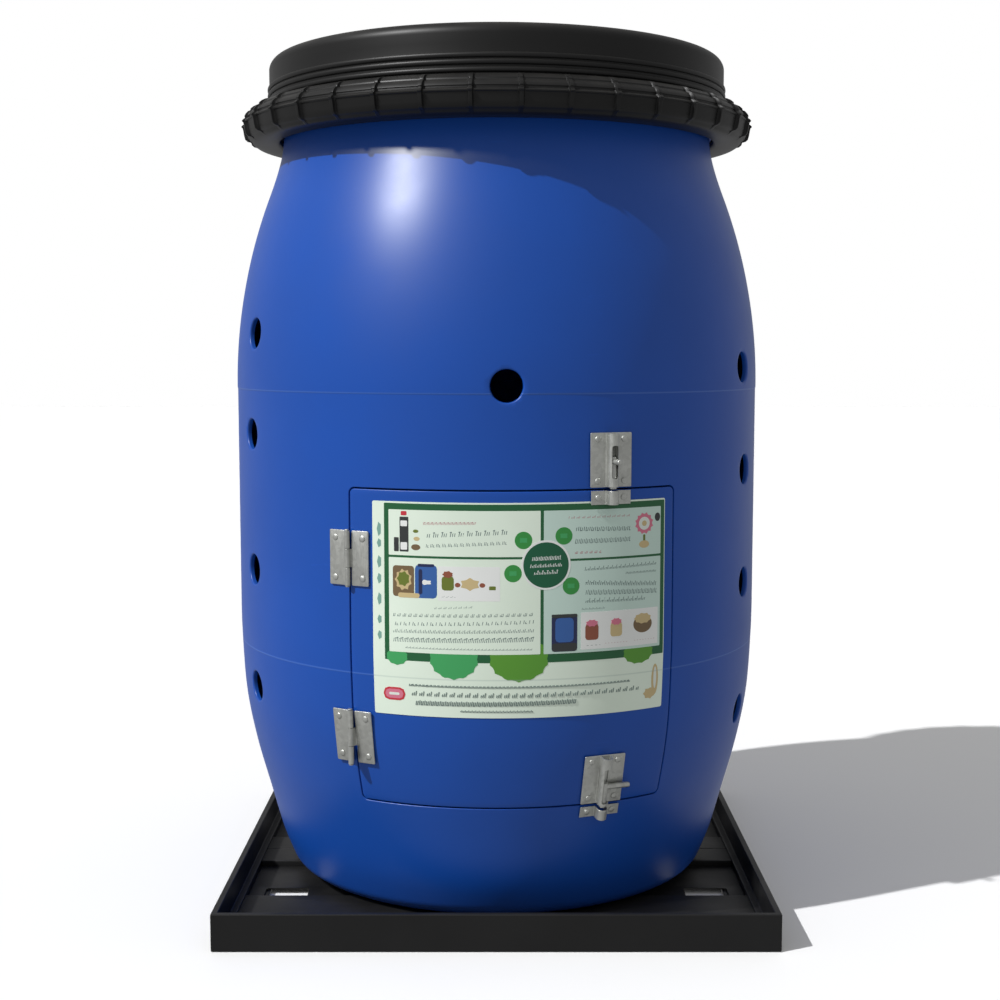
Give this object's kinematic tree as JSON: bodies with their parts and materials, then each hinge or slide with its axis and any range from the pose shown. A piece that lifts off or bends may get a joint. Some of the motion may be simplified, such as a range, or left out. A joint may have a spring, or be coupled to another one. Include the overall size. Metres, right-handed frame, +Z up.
{
  "type": "compost drum",
  "caption": "Upright composting drum with air holes, a screw-ring lid and a riveted unloading door with slide bolts, standing in a square slatted base tray.",
  "frame": {"origin": "on the ground under the drum's vertical axis, at the centre of the square base", "axes": "+Z up along the drum's axis; the unloading door faces -Y; +X is to the right of someone facing the door"},
  "size_m": [0.6144, 0.6151, 0.962],
  "materials": {
    "blue_plastic": "moulded blue HDPE, satin, faint mould lines",
    "black_plastic": "moulded black HDPE, satin",
    "black_steel": "black powder-coated steel",
    "zinc_steel": "zinc-plated pressed steel, dull with light scratches",
    "gasket_rubber": "black sealing rubber",
    "label_print": null
  },
  "bodies": {
    "drum": {"base_frame": "black_steel", "deck_board_front": "black_steel", "deck_board_middle_front": "black_steel", "deck_board_middle_rear": "black_steel", "deck_board_rear": "black_steel", "floor_pan_front": "black_steel", "floor_pan_rear": "black_steel", "hinge_upper_drum_leaf": "zinc_steel", "rivet_hinge_upper_drum_top": "zinc_steel", "rivet_hinge_upper_drum_bottom": "zinc_steel", "hinge_upper_pin": "zinc_steel", "hinge_lower_drum_leaf": "zinc_steel", "rivet_hinge_lower_drum_top": "zinc_steel", "rivet_hinge_lower_drum_bottom": "zinc_steel", "hinge_lower_pin": "zinc_steel", "bolt_upper_plate": "zinc_steel", "rivet_bolt_upper_top_left": "zinc_steel", "rivet_bolt_upper_top_right": "zinc_steel", "rivet_bolt_upper_bottom_left": "zinc_steel", "rivet_bolt_upper_bottom_right": "zinc_steel", "keeper_lower": "zinc_steel", "rivet_keeper_lower_left": "zinc_steel", "rivet_keeper_lower_right": "zinc_steel", "drum_shell": "blue_plastic"},
    "door": {"hinge_upper_door_leaf": "zinc_steel", "rivet_hinge_upper_door_top": "zinc_steel", "rivet_hinge_upper_door_bottom": "zinc_steel", "hinge_lower_door_leaf": "zinc_steel", "rivet_hinge_lower_door_top": "zinc_steel", "rivet_hinge_lower_door_bottom": "zinc_steel", "keeper_upper": "zinc_steel", "rivet_keeper_upper_left": "zinc_steel", "rivet_keeper_upper_right": "zinc_steel", "bolt_lower_plate": "zinc_steel", "rivet_bolt_lower_top_left": "zinc_steel", "rivet_bolt_lower_top_right": "zinc_steel", "rivet_bolt_lower_bottom_left": "zinc_steel", "rivet_bolt_lower_bottom_right": "zinc_steel", "door_panel": "blue_plastic", "label_panel": "label_print"},
    "upper_bolt": {"bolt_upper_rod": "zinc_steel"},
    "lower_bolt": {"bolt_lower_rod": "zinc_steel"},
    "lid": {"lid_cap": "black_plastic", "lid_gasket": "gasket_rubber"},
    "lock_ring": {"lock_ring": "black_plastic"}
  },
  "joints": [
    {"name": "door_hinge", "type": "hinge", "parent": "drum", "child": "door", "pos_m": [-0.15538, -0.27021, 0.413], "axis": [-0.01, -0.0173, 0.9998], "range_deg": [-150, 0]},
    {"name": "upper_bolt_slide", "type": "slide", "parent": "drum", "child": "upper_bolt", "axis": [0, 0, -1], "range_m": [-0.013, 0.014]},
    {"name": "lower_bolt_slide", "type": "slide", "parent": "door", "child": "lower_bolt", "axis": [-0.0803, 0.1938, -0.9778], "range_m": [-0.019, 0.0145]},
    {"name": "lid_rise", "type": "slide", "parent": "drum", "child": "lid", "axis": [0, 0, 1], "range_m": [0, 0.0481]},
    {"name": "ring_turn", "type": "hinge", "parent": "lid", "child": "lock_ring", "pos_m": [0, 0, 0.89], "axis": [0, 0, 1], "range_deg": [0, 720]}
  ],
  "couplings": [
    {"joint": "lid_rise", "follows": "ring_turn", "m_per_rad": 0.0038197}
  ]
}
